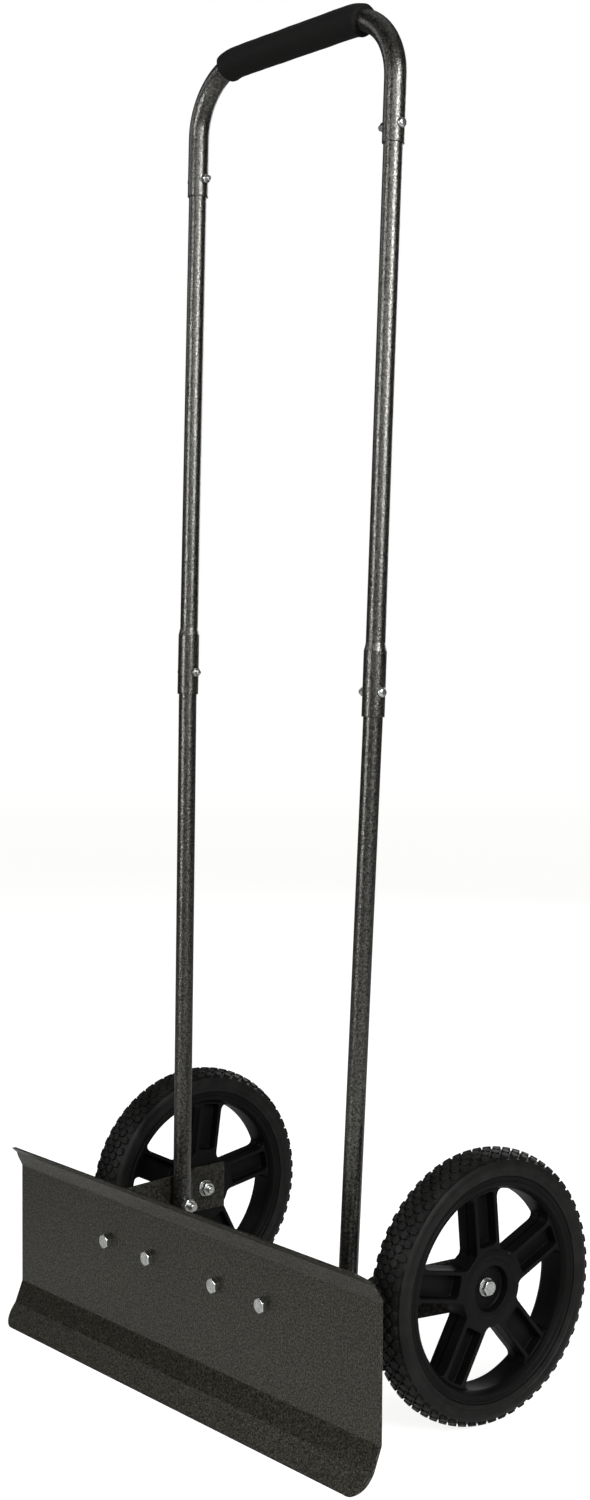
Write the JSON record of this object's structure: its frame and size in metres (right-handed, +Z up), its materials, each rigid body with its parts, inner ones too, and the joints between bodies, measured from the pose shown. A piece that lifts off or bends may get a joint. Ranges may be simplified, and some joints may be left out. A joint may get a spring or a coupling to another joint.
{
  "type": "wheeled snow shovel",
  "caption": "Wide folded steel snow blade on a two-wheeled frame, pushed by a tall U-shaped tube handle with a foam grip.",
  "frame": {"origin": "on the floor, under the middle of the object's footprint box", "axes": "+Z up, -Y the way the blade is pushed, X along the blade and the wheels' axles"},
  "size_m": [0.566, 0.3308, 1.3],
  "materials": {
    "blade_paint": "hammered bronze-grey paint, satin",
    "bracket_paint": "bronze-grey paint, satin",
    "tube_paint": "hammered dark bronze-grey paint, semi-gloss",
    "grip_foam": "matte black foam",
    "zinc": "bright zinc plate",
    "rim_plastic": "moulded black plastic",
    "bush_plastic": "natural nylon",
    "tyre_rubber": "black rubber"
  },
  "bodies": {
    "frame": {"snow_blade": "blade_paint", "bracket_left": "bracket_paint", "bracket_right": "bracket_paint", "lower_tube_left": "tube_paint", "lower_tube_right": "tube_paint", "upper_tube_left": "tube_paint", "upper_tube_right": "tube_paint", "handle_bar": "tube_paint", "foam_grip": "grip_foam", "blade_bolts": "zinc", "blade_washers": "zinc", "blade_nuts": "zinc", "base_bolts": "zinc", "base_nuts": "zinc", "joint_bolts": "zinc", "joint_nuts": "zinc", "handle_bolts": "zinc", "handle_nuts": "zinc", "axle_bolt_left": "zinc", "axle_nut_left": "zinc", "axle_washers_left": "zinc", "axle_bolt_right": "zinc", "axle_nut_right": "zinc", "axle_washers_right": "zinc"},
    "wheel_left": {"wheel_rim_left": "rim_plastic", "hub_bush_left": "bush_plastic", "tyre_left": "tyre_rubber"},
    "wheel_right": {"wheel_rim_right": "rim_plastic", "hub_bush_right": "bush_plastic", "tyre_right": "tyre_rubber"}
  },
  "joints": [
    {"name": "wheel_left_spin", "type": "hinge", "parent": "frame", "child": "wheel_left", "pos_m": [-0.22, 0.03845, 0.127], "axis": [1, 0, 0], "continuous": true},
    {"name": "wheel_right_spin", "type": "hinge", "parent": "frame", "child": "wheel_right", "pos_m": [0.22, 0.03845, 0.127], "axis": [1, 0, 0], "continuous": true}
  ]
}
